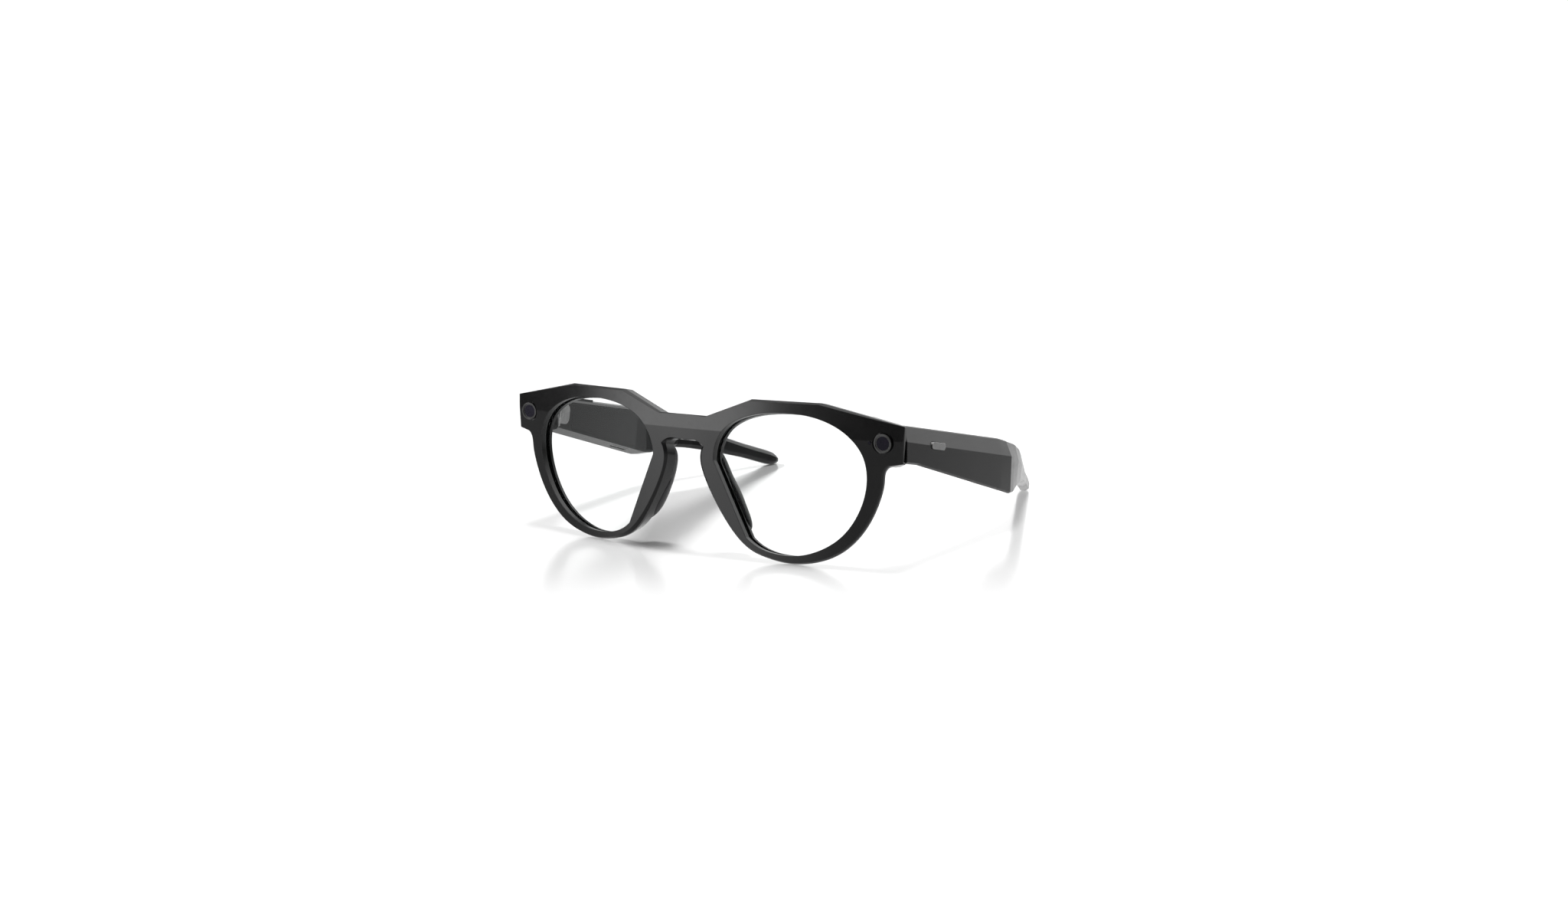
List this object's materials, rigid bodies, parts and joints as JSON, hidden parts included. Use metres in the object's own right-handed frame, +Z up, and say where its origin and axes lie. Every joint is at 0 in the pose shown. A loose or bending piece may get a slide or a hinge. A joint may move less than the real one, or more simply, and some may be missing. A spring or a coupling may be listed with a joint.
{
  "type": "smart glasses",
  "caption": "Smart glasses: wrapped one-piece front with clear lenses, camera and light in the end pieces, folding temples that hold the electronics, a press button and a slide switch.",
  "frame": {"origin": "on the table under the middle of the bounding box, with the temples open and the glasses standing on rim bottoms and temple tips", "axes": "+X to the wearer's left, +Y from the front towards the temple tips, +Z up"},
  "size_m": [0.1572, 0.1566, 0.0517],
  "materials": {
    "frame_plastic": "satin-gloss black injection-moulded plastic",
    "lens_clear": "clear, coated",
    "soft_pad": "matte soft-touch silicone, dark grey",
    "flex_circuit": "amber polyimide film",
    "gold_contact": "gold-plated, polished",
    "dark_ring": "dark anodised, polished edge",
    "cover_glass": "smoked, polished",
    "black_plastic": "fine matte",
    "optical_glass": "coated, magenta reflex",
    "circuit_board": "solder-masked laminate",
    "steel": "brushed",
    "cell_foil": "dull foil pouch",
    "inlay_metal": "polished",
    "control_plastic": "satin black"
  },
  "bodies": {
    "front": {"front_frame": "frame_plastic", "brow_cover": "frame_plastic", "brow_cable": "flex_circuit", "charge_contacts": "gold_contact", "left_lens": "lens_clear", "right_lens": "lens_clear", "left_nose_pad": "soft_pad", "right_nose_pad": "soft_pad", "camera_ring": "dark_ring", "camera_glass": "cover_glass", "camera_barrel": "black_plastic", "camera_element": "optical_glass", "camera_board": "circuit_board", "sensor_window": "cover_glass", "light_ring": "dark_ring", "light_window": "cover_glass", "light_board": "circuit_board", "hinge_leaf_screws": "steel", "left_front_leaf": "steel", "right_front_leaf": "steel", "left_hinge_pin": "steel", "right_hinge_pin": "steel"},
    "left_temple": {"left_temple_shell": "frame_plastic", "left_temple_cover": "frame_plastic", "left_temple_tip": "frame_plastic", "left_core_wire": "steel", "left_temple_leaf": "steel", "left_battery": "cell_foil", "left_speaker": "black_plastic", "left_speaker_grille": "steel", "left_temple_inlay": "inlay_metal", "power_switch_base": "black_plastic"},
    "right_temple": {"right_temple_shell": "frame_plastic", "right_temple_cover": "frame_plastic", "right_temple_tip": "frame_plastic", "right_core_wire": "steel", "right_temple_leaf": "steel", "right_main_board": "circuit_board", "right_touch_pad": "flex_circuit", "right_speaker": "black_plastic", "right_speaker_grille": "steel", "right_temple_inlay": "inlay_metal", "capture_button_dome": "steel"},
    "power_switch": {"power_switch": "control_plastic"},
    "capture_button": {"capture_button": "control_plastic"}
  },
  "joints": [
    {"name": "left_hinge", "type": "hinge", "parent": "front", "child": "left_temple", "pos_m": [0.0642, -0.0589, 0.03868], "axis": [-0.0262, 0.1993, 0.9796], "range_deg": [0, 86]},
    {"name": "right_hinge", "type": "hinge", "parent": "front", "child": "right_temple", "pos_m": [-0.0642, -0.0589, 0.03868], "axis": [-0.0262, -0.1993, -0.9796], "range_deg": [0, 68]},
    {"name": "power_switch_slide", "type": "slide", "parent": "left_temple", "child": "power_switch", "axis": [0.0734, 0.9773, -0.1988], "range_m": [0, 0.002]},
    {"name": "capture_button_press", "type": "slide", "parent": "right_temple", "child": "capture_button", "axis": [0, -0.1994, -0.9799], "range_m": [0, 0.0004], "stiffness_N_per_m": 1500}
  ]
}
